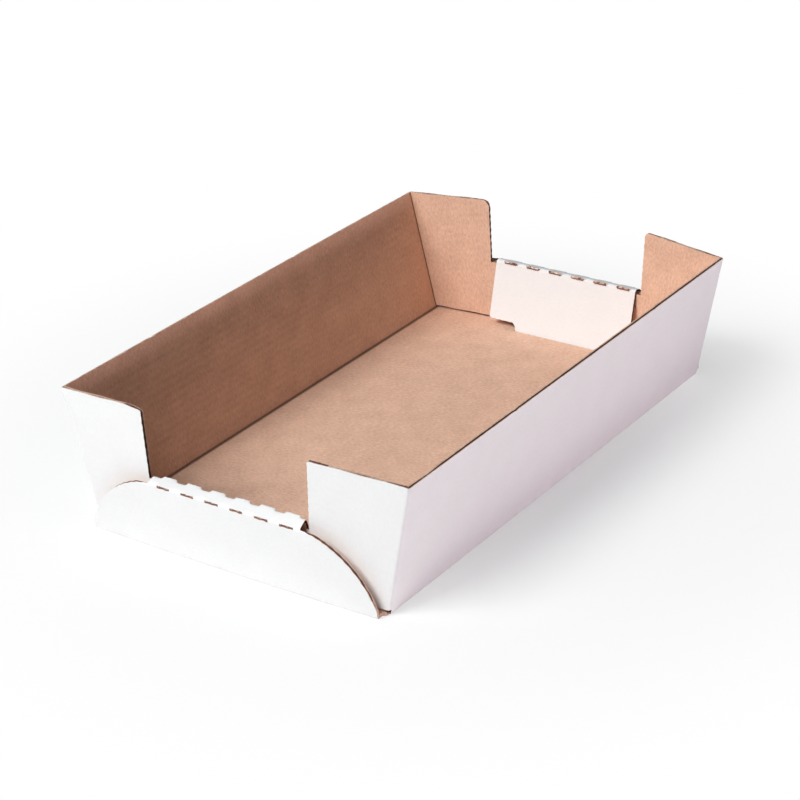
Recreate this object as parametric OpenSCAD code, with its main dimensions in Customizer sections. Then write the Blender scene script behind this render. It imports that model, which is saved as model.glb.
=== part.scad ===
// Open tray folded from one die-cut sheet of corrugated board. The long walls lean outwards.
// At each end a pair of corner flaps folds in from the walls. An arched panel rises from the
// floor in front of them, rolls over a perforated bridge and locks into a slot in the floor.

/* [Tray] */
// Width of the floor between the long folds
base_w = 280; // [220:1:360]
// Length of the floor between the end folds
base_l = 504; // [380:1:640]
// Height of the long walls' rims above the table
wall_h = 114; // [90:1:150]
// Outward lean of the long walls, in degrees
wall_lean = 12; // [6:0.5:18]
// Distance from an end fold in to the end of the long walls
wall_setback = 10; // [8:0.5:14]
// Radius of the floor's four corners
floor_corner_r = 5; // [2:0.5:7]

/* [Board] */
// Thickness of the corrugated board
board = 2.8; // [2:0.1:3.4]
// Inside radius of the folds
fold_r = 0.8; // [0.4:0.1:1.6]
// Air between two layers that lie side by side
layer_gap = 0.5; // [0.3:0.1:1]

/* [Flutes] */
// Distance from one flute to the next
flute_pitch = 6.5; // [5:0.1:9]
// Thickness of each of the two flat liners
liner = 0.4; // [0.3:0.05:0.6]
// Thickness of the wavy paper between the liners
flute_paper = 0.4; // [0.3:0.05:0.6]
// Depth to which the flutes stand open at the cut edges
flute_depth = 6; // [2:0.5:12]

/* [Arched end panels] */
// Height of an end panel from the table to its crease
panel_h = 60; // [50:1:75]
// Width of an end panel at its foot
panel_foot_w = 276; // [240:1:278]
// Outward lean of an end panel, in degrees
panel_lean = 4.5; // [2:0.5:7]
// Upright edge of an end panel between its fold's round and the arch
foot_h = 1.4; // [0.5:0.1:8]
// Radius of an end panel's arched shoulders
arch_r = 78; // [60:1:120]

/* [Roll-over flaps] */
// Width of the bridge and of the flap that goes down inside
roll_w = 147; // [120:1:170]
// Slope of the bridge up from the panel, in degrees
bridge_rise = 15; // [5:1:20]
// Outside radius of the two creases between their cuts
crease_r = 3; // [1:0.1:4]
// Distance from the end fold in to the flap's lock slot
slot_inset = 19; // [14:0.5:26]
// Height of the flap's shoulders above the floor
shoulder_h = 6.4; // [4:0.2:12]
// Width of the lock tab
tab_w = 89; // [50:1:100]
// Radius between the shoulders and the lock tab
tab_fillet = 5.4; // [2:0.2:7]
// Radius of the flap's lower corners
shoulder_r = 3; // [1:0.5:6]

/* [Perforation] */
// Number of cuts along a crease
cut_n = 6; // [2:1:8]
// Length of a cut
cut_l = 12.7; // [6:0.1:14]
// Width of a cut
cut_w = 1.2; // [0.4:0.1:1.5]
// Distance from the end of a crease to its first cut
cut_margin = 7.6; // [4:0.1:12]

/* [Corner flaps] */
// Distance between the end of the bridge and a flap's free edge
flap_clear = 4.7; // [2:0.1:20]
// Rise of a flap's top edge away from the wall, in degrees
flap_tilt = 2.2; // [0:0.1:6]
// Radius of a flap's free top corner
flap_corner_r = 7; // [2:0.5:16]
// Distance that a flap's toe reaches in behind the roll-over flap
toe_reach = 13.5; // [6:0.5:24]
// Drop from the crease to the top of the toe
toe_drop = 15; // [10:0.5:25]
// Radius of the toe's two corners
toe_r = 6; // [2:0.5:10]

/* [Hidden] */
$fn = 96;

half_w = base_w / 2;
half_l = base_l / 2;
wall_end = half_l - wall_setback;
roll_half = roll_w / 2;
// Outside radius of the folds round the floor
fold_out = fold_r + board;
// Length of a long wall from its fold to its rim, along its slope
wall_slope = wall_h / cos(wall_lean);
// Distance from a long fold's sharp corner to where its round begins
wall_round = fold_out * tan((90 - wall_lean) / 2);
// Spare length of cutters and of outlines that are trimmed later
spare = 20;
// Depth by which an arc crosses the edges that it rounds
arc_bite = 0.003;
// Where a fold's leg runs on inside the sheet, it is thinner by this much on each face
flush_step = 0.01;

// Vector helpers
function unit(v) = v / norm(v);
function left_of(v) = [-v[1], v[0]];
function mirrored(p) = [-p[0], p[1]];
function reversed(list) = [for (i = [len(list) - 1 : -1 : 0]) list[i]];
// Point where the line through p along d meets the line through q along e
function crossing(p, d, q, e) = p + d * cross(q - p, e) / cross(d, e);

// Point on a long wall: up its slope from the fold, and in from its outer face
function wall_point(up, inward) = [
    half_w + up * sin(wall_lean) - inward * cos(wall_lean),
    up * cos(wall_lean) + inward * sin(wall_lean)
];
// Distance of a long wall's outer face from the middle at a height
function wall_x(z) = half_w + z * tan(wall_lean);
// Distance of an end panel's inner face from the middle at a height
function panel_inside(z) = half_l + z * tan(panel_lean) - board / cos(panel_lean);

// The open flutes are narrower by this much at their tops
flute_taper = 0.3;
flute_h = board - 2 * liner - flute_paper;
flute_wall = flute_paper * norm([flute_h, flute_pitch / 4]) / flute_h;
flute_base = (flute_pitch / 2 - flute_wall) / (1 + flute_taper);
// Place of a flute's middle across the flat sheet, and the first flute past a place
function flute_at(i) = (i + 0.5) * flute_pitch / 2;
function flute_past(place) = ceil(place / (flute_pitch / 2) - 0.5);

// A corner flap swings until its toe lies against the end panel
flap_x = roll_half + flap_clear;
flap_foot = board + layer_gap;
step_z = panel_h - layer_gap - board / 2;
toe_z = panel_h - toe_drop;
toe_x = roll_half - toe_reach;
flap_room = panel_inside(flap_foot) - layer_gap - wall_end;
flap_swing = atan(flap_room / ((wall_x(flap_foot) - toe_x) * cos(wall_lean)));
// Length of a corner fold's leg, which runs on inside the wall
corner_leg = fold_out + board;
// Distance of a corner flap's inner face from the middle
function flap_inside(x, z) = wall_end - board / cos(flap_swing)
    + (wall_x(z) - x) * cos(wall_lean) * tan(flap_swing);

// Outline of a corner flap in the end view
flap_rim = wall_point(wall_slope, board);
flap_top_dir = [-cos(flap_tilt), sin(flap_tilt)];
flap_step = [flap_x, step_z];
flap_top = crossing(flap_rim, flap_top_dir, flap_step, left_of(flap_top_dir));
// Place of a point of the end view on a corner flap: up along its fold, and in from the fold
function on_flap(p) = [
    (p[0] - half_w) * sin(wall_lean) + p[1] * cos(wall_lean),
    (p[1] * sin(wall_lean) - (p[0] - half_w) * cos(wall_lean)) / cos(flap_swing)
];
// Distance from the fold to the cut edge between two points of the flap, at a height along the fold
function edge_in(up, a, b) = crossing([up, 0], [0, 1], on_flap(a), on_flap(b) - on_flap(a))[1];
function flap_edge(up) = min(edge_in(up, flap_step, flap_top), edge_in(up, flap_rim, flap_top));

// End view of an end panel's arch
arch_crease = [roll_half, panel_h];
arch_foot = [panel_foot_w / 2, fold_out + foot_h];
arch_chord = arch_foot - arch_crease;
arch_sink = sqrt(arch_r * arch_r - arch_chord * arch_chord / 4);
arch_centre = (arch_crease + arch_foot) / 2 - left_of(unit(arch_chord)) * arch_sink;
function arch_z(x) = arch_centre[1] + sqrt(arch_r * arch_r - pow(x - arch_centre[0], 2));

// Side view of an end. Points on the white face are named out, those on the brown face in.
panel_dir = [sin(panel_lean), cos(panel_lean)];
bridge_dir = [-cos(bridge_rise), sin(bridge_rise)];
fold_pt = [half_l, 0];
crease_out = fold_pt + panel_dir * panel_h / cos(panel_lean);
slot_in = [half_l - slot_inset, board];
behind_toe = [flap_inside(roll_half, toe_z) - layer_gap, toe_z];
roll_dir = unit(slot_in - behind_toe);
bridge_end_out = crossing(crease_out, bridge_dir, slot_in + left_of(roll_dir) * -board, roll_dir);
fold_in = crossing([0, board], [1, 0], fold_pt + left_of(panel_dir) * board, panel_dir);
bridge_under = crease_out + left_of(bridge_dir) * board;
crease_in = crossing(fold_in, panel_dir, bridge_under, bridge_dir);
bridge_end_in = crossing(bridge_under, bridge_dir, slot_in, roll_dir);
// The tab ends inside the slot, just above the table
tab_foot = [0, layer_gap];
tab_end_out = crossing(bridge_end_out, roll_dir, tab_foot, [1, 0]);
tab_end_in = crossing(slot_in, roll_dir, tab_foot, [1, 0]);
// The end folds' short legs lie in the floor
leg_y = half_l - fold_out - board;
// The inner flap's shoulders are cut behind this line, clear of the end panel
behind_panel = (slot_in[0] + fold_in[0]) / 2;
// The creases' rounds share the bridge between them
crease_round = min(crease_r, norm(bridge_end_out - crease_out) * 0.4);

cut_pitch = (roll_w - 2 * cut_margin - cut_l) / (cut_n - 1);

module both_sides() {
    children();
    mirror([1, 0, 0]) children();
}

module both_ends() {
    children();
    mirror([0, 1, 0]) children();
}

// Extrude a shape drawn in the side view across the tray
module across(width) {
    rotate([90, 0, 90]) linear_extrude(width, center = true) children();
}

// Extrude a shape drawn in the end view along the tray, from a distance inwards
module along(from, depth) {
    translate([0, from, 0]) rotate([90, 0, 0]) linear_extrude(depth) children();
}

// The sliver between the corner at p and the arc of radius r that rounds it. Its straight sides lie
// past the corner's edges, so that the arc alone shapes the corner.
module corner_sliver(a, p, b, r) {
    u = unit(a - p);
    v = unit(b - p);
    half = acos(u * v) / 2;
    centre = p + unit(u + v) * (r - arc_bite) / sin(half);
    corners = [p + u * r / tan(half), p, p + v * r / tan(half)];
    difference() {
        polygon(concat([centre], [for (q = corners) q + unit(q - centre) * board / 4]));
        translate(centre) circle(r);
    }
}

// Polygon with a radius at each corner: above zero cuts the corner off, below zero fills it
module rounded(points, radii) {
    n = len(points);
    difference() {
        union() {
            polygon(points);
            for (i = [0 : n - 1])
                if (radii[i] < 0)
                    corner_sliver(points[(i + n - 1) % n], points[i], points[(i + 1) % n], -radii[i]);
        }
        for (i = [0 : n - 1])
            if (radii[i] > 0)
                corner_sliver(points[(i + n - 1) % n], points[i], points[(i + 1) % n], radii[i]);
    }
}

// Section of an open flute, drawn from the white face into the board. The flutes lie against the two
// liners in turn, on both sides of the wavy paper.
module flute(i) {
    top = flute_base * flute_taper;
    translate([0, board / 2])
        mirror([0, i % 2])
            polygon([
                [-flute_base, liner - board / 2],
                [flute_base, liner - board / 2],
                [top, liner + flute_h - board / 2],
                [-top, liner + flute_h - board / 2]
            ]);
}

// End view of the floor and both walls, filled from the given depth inside the board
module trough(inward, up) {
    centre = wall_point(wall_round, fold_out);
    right = [
        [centre[0], inward],
        wall_point(wall_round, inward),
        wall_point(up, inward),
        wall_point(up, board)
    ];
    polygon(concat(right, [for (p = reversed(right)) mirrored(p)]));
    for (side = [-1, 1])
        translate([side * centre[0], centre[1]]) circle(fold_out - inward);
}

module wall_strip(reach) {
    rotate([90, 0, 0])
        linear_extrude(2 * reach, center = true)
            difference() {
                trough(0, wall_slope);
                trough(board, wall_slope + spare);
            }
}

// Groove along a rim, where the cut runs down between two flutes
module rim_groove() {
    reach = wall_end - corner_leg - board;
    foot = wall_slope - flute_pitch / 4;
    side = liner + flute_paper;
    along(reach, 2 * reach)
        polygon([
            wall_point(foot, side),
            wall_point(wall_slope, liner),
            wall_point(wall_slope + spare, liner),
            wall_point(wall_slope + spare, board - liner),
            wall_point(wall_slope, board - liner),
            wall_point(foot, board - side)
        ]);
}

// The walls stop where the corner folds begin, but the folds under them run to the walls' ends
module long_walls() {
    fold_top = max(wall_point(wall_round, board)[1], flap_foot) + board / 4;
    difference() {
        wall_strip(wall_end - fold_out);
        both_sides() rim_groove();
    }
    intersection() {
        wall_strip(wall_end);
        translate([-base_w, -base_l, -spare]) cube([2 * base_w, 2 * base_l, spare + fold_top]);
    }
}

// The floor reaches past the ends of the walls to the end folds
module floor_ear() {
    linear_extrude(board)
        rounded(
            [
                [-half_w, wall_end],
                [half_w, wall_end],
                [half_w, half_l - fold_out],
                [-half_w, half_l - fold_out]
            ],
            [0, 0, floor_corner_r, floor_corner_r]
        );
}

// Arched outline of an end panel on both sides of its crease
module arch_outline() {
    translate([-arch_foot[0], -spare]) square([panel_foot_w, spare + arch_foot[1]]);
    both_sides()
        intersection() {
            translate([roll_half, 0]) square([arch_foot[0] - roll_half, panel_h]);
            translate(arch_centre) circle(arch_r);
        }
}

// The flutes that an end panel's arch cuts across
module arch_flutes() {
    margin = flute_base + flute_wall;
    last = flute_past(arch_foot[0] - margin) - 1;
    translate([0, half_l, 0])
        rotate([180 - panel_lean, 0, 0])
            for (i = [flute_past(roll_half + margin) : last]) {
                foot = max(arch_z(flute_at(i) + flute_base) - flute_depth, arch_foot[1]);
                translate([flute_at(i), 0, -panel_h - spare])
                    linear_extrude(panel_h + spare - foot / cos(panel_lean)) flute(i);
            }
}

// The end panel's arched shoulders, beside its crease
module arched_shoulders() {
    width = half_w - roll_half;
    top = crease_out + panel_dir * spare;
    difference() {
        intersection() {
            both_sides()
                translate([roll_half + width / 2, 0, 0])
                    across(width)
                        rounded(
                            [
                                [leg_y, 0], fold_pt, crease_out, top,
                                top + left_of(panel_dir) * board, crease_in, fold_in, [leg_y, board]
                            ],
                            [0, fold_out, 0, 0, 0, 0, -fold_r, 0]
                        );
            along(half_l + spare, 3 * spare) arch_outline();
        }
        both_sides() arch_flutes();
    }
}

// Side view of the strip that rises from the floor as the end panel, crosses the bridge and goes
// down inside to the lock tab, with the two creases rounded
module roll_profile(round_r) {
    rounded(
        [
            [leg_y, 0], fold_pt, crease_out, bridge_end_out, tab_end_out,
            tab_end_in, bridge_end_in, crease_in, fold_in, [leg_y, board]
        ],
        [0, fold_out, round_r, round_r, 0, 0, 0, 0, -fold_r, 0]
    );
}

// A cut through the board at a crease, from its outer to its inner corner
module cut_line(outer, inner) {
    reach = unit(inner - outer) * board;
    side = left_of(unit(inner - outer)) * cut_w / 2;
    polygon([outer - reach + side, outer - reach - side, inner + reach - side, inner + reach + side]);
}

// The creases are round between the cuts and keep a sharp lip on both sides of each cut
module creased_strip() {
    for (i = [0 : cut_n]) {
        from = i == 0 ? -roll_half : -roll_half + cut_margin + (i - 1) * cut_pitch + cut_l;
        to = i == cut_n ? roll_half : -roll_half + cut_margin + i * cut_pitch;
        translate([(from + to) / 2, 0, 0]) across(to - from) roll_profile(crease_round);
        if (i < cut_n)
            translate([to + cut_l / 2, 0, 0])
                across(cut_l)
                    difference() {
                        roll_profile(0);
                        cut_line(crease_out, crease_in);
                        cut_line(bridge_end_out, bridge_end_in);
                    }
    }
}

// What is cut from the inner flap beside its lock tab, with the flap's lower corner rounded
module shoulder_cut() {
    shoulder = board + shoulder_h;
    tab_corner = [tab_w / 2, shoulder];
    lower_corner = [roll_half, shoulder];
    rounded(
        [[tab_w / 2, -spare], [roll_half + spare, -spare], [roll_half + spare, shoulder], tab_corner],
        [0, 0, 0, tab_fillet]
    );
    corner_sliver(lower_corner + [0, spare], lower_corner, tab_corner, shoulder_r);
}

module end_strip() {
    difference() {
        creased_strip();
        both_sides() along(behind_panel, 2 * spare) shoulder_cut();
    }
}

module lock_slot() {
    near_side = tab_end_out[0] - layer_gap;
    far_side = slot_in[0] + layer_gap;
    translate([-tab_w / 2 - layer_gap, near_side, -spare])
        cube([tab_w + 2 * layer_gap, far_side - near_side, 2 * spare]);
}

// Outline of a corner flap: free edge, step beside the bridge, and toe behind the roll-over
module flap_outline() {
    beside_roll = roll_half + layer_gap;
    rounded(
        [
            wall_point(wall_slope, -spare),
            flap_rim,
            flap_top,
            flap_step,
            [beside_roll, step_z],
            [beside_roll, toe_z],
            [toe_x, toe_z],
            [toe_x, flap_foot],
            [flap_rim[0] + spare, flap_foot]
        ],
        [0, 0, flap_corner_r, 0, 0, 0, toe_r, toe_r, 0]
    );
}

// The flutes that open at a corner flap's free edge and, at a flat angle, along its top edge
module flap_flutes() {
    first = flute_past(half_w + on_flap(flap_step)[0] + flute_base + flute_wall);
    last = flute_past(half_w + wall_slope) - 1;
    translate([half_w, wall_end, 0])
        rotate([0, wall_lean, 0])
            rotate([0, 0, -flap_swing])
                rotate(180, [1, 0, 1])
                    for (i = [first : last]) {
                        up = flute_at(i) - half_w;
                        end = flap_edge(up + flute_base) - flute_depth;
                        if (end > corner_leg)
                            translate([up, 0, -wall_slope])
                                linear_extrude(wall_slope - end) flute(i);
                    }
}

// A corner flap with its rounded fold. Seen down the fold, x leaves the wall's outer face and y runs
// on past the wall's end.
module corner_flap() {
    flap_dir = [-cos(flap_swing), sin(flap_swing)];
    corner = [-flush_step, 0];
    free_end = corner + flap_dir * (wall_x(wall_h) - toe_x + spare);
    thick = left_of(flap_dir) * board;
    leg_in = [flush_step - board, -corner_leg];
    dip = (wall_x(wall_h) - toe_x) * sin(wall_lean) + spare;
    difference() {
        intersection() {
            translate([half_w, wall_end, 0]) rotate([0, wall_lean, 0]) translate([0, 0, -dip])
                linear_extrude(wall_slope + dip + spare)
                    rounded(
                        [
                            [corner[0], -corner_leg],
                            corner,
                            free_end,
                            free_end + thick,
                            crossing(corner + thick, flap_dir, leg_in, [0, 1]),
                            leg_in
                        ],
                        [0, fold_out, 0, 0, -fold_r, 0]
                    );
            along(half_l + spare, 2 * wall_setback + 2 * spare) flap_outline();
        }
        flap_flutes();
    }
}

module tray() {
    color("burlywood")
        difference() {
            union() {
                long_walls();
                both_ends() {
                    floor_ear();
                    arched_shoulders();
                    end_strip();
                    both_sides() corner_flap();
                }
            }
            both_ends() lock_slot();
        }
}

tray();
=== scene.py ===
"""Looks of an open tray that is die-cut from one sheet of corrugated board and folded up.

The sheet is modelled flat, as it leaves the cutting table: x runs across it, y along its flutes and z
into the board, from the white face to the brown one. Its two liners and the fluted paper between
them are cut to the blank's outline, and fold_up() then brings every point to its place on the tray.
"""

import math
from collections import namedtuple

import bmesh
import bpy
from mathutils import Matrix, Vector, noise


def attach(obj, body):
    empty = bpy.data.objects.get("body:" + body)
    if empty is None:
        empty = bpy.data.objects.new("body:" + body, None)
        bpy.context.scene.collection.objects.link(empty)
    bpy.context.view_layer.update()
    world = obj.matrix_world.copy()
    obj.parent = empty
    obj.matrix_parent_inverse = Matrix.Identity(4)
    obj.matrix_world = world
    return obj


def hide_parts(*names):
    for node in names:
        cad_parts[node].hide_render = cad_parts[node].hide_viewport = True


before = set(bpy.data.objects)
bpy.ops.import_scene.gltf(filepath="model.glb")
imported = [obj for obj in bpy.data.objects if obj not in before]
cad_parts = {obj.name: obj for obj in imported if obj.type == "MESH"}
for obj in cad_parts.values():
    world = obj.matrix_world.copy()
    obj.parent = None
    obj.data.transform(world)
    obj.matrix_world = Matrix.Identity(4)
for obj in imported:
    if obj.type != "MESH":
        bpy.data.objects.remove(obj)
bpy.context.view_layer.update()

MM = 0.001
# Lengths that count as nothing: when the sheet is cut, and when its quarters are joined
TINY = 1e-7
WELD = 10 * TINY

# Sizes of the tray, the same as those of the solid
BASE_W = 280 * MM
BASE_L = 504 * MM
WALL_H = 114 * MM
WALL_LEAN = math.radians(12)
WALL_SETBACK = 10 * MM
FLOOR_CORNER_R = 5 * MM
BOARD = 2.8 * MM
FOLD_R = 0.8 * MM
LAYER_GAP = 0.5 * MM
PANEL_H = 60 * MM
PANEL_FOOT_W = 276 * MM
PANEL_LEAN = math.radians(4.5)
FOOT_H = 1.4 * MM
ARCH_R = 78 * MM
ROLL_W = 147 * MM
BRIDGE_RISE = math.radians(15)
CREASE_R = 3 * MM
SLOT_INSET = 19 * MM
SHOULDER_H = 6.4 * MM
TAB_W = 89 * MM
TAB_FILLET = 5.4 * MM
SHOULDER_R = 3 * MM
CUT_COUNT = 6
CUT_L = 12.7 * MM
CUT_W = 1.2 * MM
CUT_MARGIN = 7.6 * MM
FLAP_CLEAR = 4.7 * MM
FLAP_TILT = math.radians(2.2)
FLAP_CORNER_R = 7 * MM
TOE_REACH = 13.5 * MM
TOE_DROP = 15 * MM
TOE_R = 6 * MM

# Make-up of the board
LINER = 0.36 * MM
FLUTE_PITCH = 6.5 * MM
FLUTE_PAPER = 0.4 * MM
FLUTE_RECESS = 0.7 * MM

# Fineness of the folded sheet
FOLD_STEPS = 6
FLUTE_STEPS = 6
ARCH_STEPS = 28
ROUND_STEPS = 8
GRID = 12 * MM
EDGE_STEP = 1.7 * MM
FLAT_ANGLE = math.radians(1)
SHARP_ANGLE = math.radians(35)
# A face of the flat board is a cut edge if the upright part of its normal is below this
EDGE_UPRIGHT = 0.5

# Folds that are creased hard: radius on the white face, and the radius left on the brown face
CREASED_R = 1.8 * MM
PINCH = 0.1 * MM
# The round of a perforated crease takes up this share of the bridge at most
CREASE_SHARE = 0.4

# Perforation. Beside a cut of the inner crease the bridge's end stands up as a lip, which fades out along
# the crease and shows brown up to a small inset. The white liner is split back from the cuts of the outer
# crease, which lie a little below it and have a brown floor. That brown is the fluting's colour, darkened
# with painted shade. All the cuts sit a little to the right.
LIP = 1.0 * MM
LIP_FADE = 1.6 * MM
LIP_INSET = LINER / 4
SPLIT = 0.5 * MM
CUT_DROP = 1.1 * MM
CUT_FLOOR = BOARD / 8
CUT_SHIFT = 1.4 * MM

# Worn edges of the liners: teeth at the flutes, fray, and the length of a nick
TEETH = 0.2 * MM
FRAY = 0.16 * MM
FRAY_LENGTH = 3 * MM
NICK_L = 2.2 * MM

# Outline of the blank: the gap below a corner flap, the step where the floor's ear begins, the radius at
# the lower end of a slanted flap corner, and how far the brown liner ends short of a bridge's open ends
FLAP_GAP = 1.9 * MM
NOTCH = 0.4 * MM
FREE_CORNER_R = 1.5 * MM
HOLLOW = 6 * MM

# How far the die turns the liners' cut edges into the board along the flutes, and the shares of that
# across the flutes and at the right rim
WHITE_BURR = 0.7 * MM
BROWN_BURR = 1.3 * MM
ACROSS_SHARE = 0.12
RIGHT_RIM_SHARE = 0.5
# An edge begins to count as one along the flutes where its normal's part across them passes this
ALONG_FROM = 0.8


def turned(v, angle):
    return Vector((v.x * math.cos(angle) - v.y * math.sin(angle),
                   v.x * math.sin(angle) + v.y * math.cos(angle)))


def left_of(v):
    return Vector((-v.y, v.x))


def cross(a, b):
    return a.x * b.y - a.y * b.x


def crossing(p, d, q, e):
    """Point where the line through p along d meets the line through q along e."""
    return p + d * cross(q - p, e) / cross(d, e)


def angle_between(a, b):
    return math.atan2(cross(a, b), a.dot(b))


def ease(share):
    """Smooth step from 0 to 1."""
    share = min(max(share, 0), 1)
    return share * share * (3 - 2 * share)


# Places that follow from the sizes
HALF_W = BASE_W / 2
HALF_L = BASE_L / 2
WALL_END = HALF_L - WALL_SETBACK
ROLL_HALF = ROLL_W / 2
TAB_HALF = TAB_W / 2
FOLD_OUT = FOLD_R + BOARD
WALL_SLOPE = WALL_H / math.cos(WALL_LEAN)
WALL_TURN = math.pi / 2 - WALL_LEAN
WALL_ROUND = CREASED_R * math.tan(WALL_TURN / 2)
FLAP_FOOT = BOARD + FLAP_GAP
STEP_Z = PANEL_H - LAYER_GAP - BOARD / 2
TOE_Z = PANEL_H - TOE_DROP
TOE_X = ROLL_HALF - TOE_REACH
CUT_PITCH = (ROLL_W - 2 * CUT_MARGIN - CUT_L) / (CUT_COUNT - 1)


def wall_x(z):
    return HALF_W + z * math.tan(WALL_LEAN)


def panel_inside(z):
    return HALF_L + z * math.tan(PANEL_LEAN) - BOARD / math.cos(PANEL_LEAN)


TOE_FOOT = BOARD + LAYER_GAP
FLAP_ROOM = panel_inside(TOE_FOOT) - LAYER_GAP - WALL_END
FLAP_SWING = math.atan(FLAP_ROOM / ((wall_x(TOE_FOOT) - TOE_X) * math.cos(WALL_LEAN)))


def flap_inside(x, z):
    lean = (wall_x(z) - x) * math.cos(WALL_LEAN) * math.tan(FLAP_SWING)
    return WALL_END - BOARD / math.cos(FLAP_SWING) + lean


# Side view of an end, on the white face
PANEL_DIR = Vector((math.sin(PANEL_LEAN), math.cos(PANEL_LEAN)))
BRIDGE_DIR = Vector((-math.cos(BRIDGE_RISE), math.sin(BRIDGE_RISE)))
FOLD_PT = Vector((HALF_L, 0))
CREASE = FOLD_PT + PANEL_DIR * PANEL_H / math.cos(PANEL_LEAN)
SLOT_IN = Vector((HALF_L - SLOT_INSET, BOARD))
BEHIND_TOE = Vector((flap_inside(ROLL_HALF, TOE_Z) - LAYER_GAP, TOE_Z))
ROLL_DIR = (SLOT_IN - BEHIND_TOE).normalized()
BRIDGE_END = crossing(CREASE, BRIDGE_DIR, SLOT_IN - left_of(ROLL_DIR) * BOARD, ROLL_DIR)
TAB_END = crossing(BRIDGE_END, ROLL_DIR, Vector((0, LAYER_GAP)), Vector((1, 0)))
CREASE_ROUND = min(CREASE_R, (BRIDGE_END - CREASE).length * CREASE_SHARE)

# Distances along the flat sheet from its middle. The tab is cut short, so its square end clears the table.
CREASE_V = HALF_L + (CREASE - FOLD_PT).length
BRIDGE_END_V = CREASE_V + (BRIDGE_END - CREASE).length
TAB_END_V = BRIDGE_END_V + (TAB_END - BRIDGE_END).length - BOARD * abs(ROLL_DIR.x / ROLL_DIR.y)
RIM_U = HALF_W + WALL_SLOPE

# A fold lies at a distance along the sheet and turns it towards the brown face, with a radius on the
# white face. Beside its cuts, the sheet before it runs straight on past it by the overhang. A fold
# without cuts is creased so hard that the board is pinched in it.
Fold = namedtuple("Fold", "at turn radius overhang")
WALL_FOLD = Fold(HALF_W, WALL_TURN, CREASED_R, None)
FLAP_FOLD = Fold(WALL_END, math.pi / 2 - FLAP_SWING, CREASED_R, None)
END_FOLD = Fold(HALF_L, math.pi / 2 - PANEL_LEAN, CREASED_R, None)
OUTER_CREASE = Fold(CREASE_V, angle_between(PANEL_DIR, BRIDGE_DIR), CREASE_ROUND, -CUT_W / 2)
INNER_CREASE = Fold(BRIDGE_END_V, angle_between(BRIDGE_DIR, ROLL_DIR), CREASE_ROUND, LIP)

# A run is a strip of the sheet seen edge-on: which way it heads from the middle, and its folds
WALL_RUN = (Vector((1, 0)), [WALL_FOLD])
FLAP_RUN = (Vector((0, 1)), [FLAP_FOLD])
END_RUN = (Vector((1, 0)), [END_FOLD, OUTER_CREASE, INNER_CREASE])


def fold_reach(fold):
    """Length of a fold's round on each side of its sharp corner."""
    return fold.radius * math.tan(fold.turn / 2)


def bent(fold, start, heading, gone, depth, crisp):
    """Point inside a fold, at a distance past its start. A crisp fold keeps its two legs straight."""
    reach = fold_reach(fold)
    side = left_of(heading)
    angle = fold.turn * gone / (2 * reach)
    smooth = start + side * fold.radius - turned(side, angle) * max(fold.radius - depth, PINCH)
    if fold.overhang is None or crisp == 0:
        return smooth
    if gone < reach + fold.overhang + CUT_W / 2:
        sharp = start + heading * gone + side * depth
    else:
        after = turned(heading, fold.turn)
        sharp = start + heading * reach + after * (gone - reach) + left_of(after) * depth
    return smooth.lerp(sharp, crisp)


def along_run(run, distance, depth, crisp=0.0):
    """Point of a folded run at a distance along the sheet and a depth into the board."""
    heading, folds = run
    point = Vector((0, 0))
    passed = 0.0
    for fold in folds:
        reach = fold_reach(fold)
        if distance <= fold.at - reach:
            break
        if distance < fold.at + reach:
            start = point + heading * (fold.at - reach - passed)
            return bent(fold, start, heading, distance - fold.at + reach, depth, crisp)
        point = point + heading * (fold.at - passed)
        heading = turned(heading, fold.turn)
        passed = fold.at
    return point + heading * (distance - passed) + left_of(heading) * depth


def on_flap(x, z):
    """Place on the flat sheet of a corner flap's point, given in the end view."""
    out = x - HALF_W
    up = out * math.sin(WALL_LEAN) + z * math.cos(WALL_LEAN)
    inward = z * math.sin(WALL_LEAN) - out * math.cos(WALL_LEAN)
    return Vector((HALF_W + up, WALL_END + inward / math.cos(FLAP_SWING), 0))


def flap_foot_u(v):
    """Place of a flap's lower edge across the sheet."""
    rise = (v - WALL_END) * math.cos(FLAP_SWING) * math.sin(WALL_LEAN)
    return HALF_W + (FLAP_FOOT - rise) / math.cos(WALL_LEAN)


def in_wing(u, v):
    """True on a long wall and its corner flaps, false on the floor and the ends."""
    if v <= WALL_END + TINY:
        return u > HALF_W - WALL_ROUND
    return u > flap_foot_u(v) - BOARD / 2


def cut_spans():
    first = CUT_MARGIN - ROLL_HALF + CUT_SHIFT
    return [(first + i * CUT_PITCH, first + i * CUT_PITCH + CUT_L) for i in range(CUT_COUNT)]


def crispness(u):
    """1 beside a perforation cut, falling to 0 where the crease is whole."""
    gap = min(max(start - u, u - end, 0) for start, end in cut_spans())
    return 1 - ease(gap / LIP_FADE)


# The four corners of the tray: side and end. The camera stands at the near right one.
NEAR_LEFT, NEAR_RIGHT, FAR_LEFT, FAR_RIGHT = (-1, -1), (1, -1), (-1, 1), (1, 1)

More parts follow.
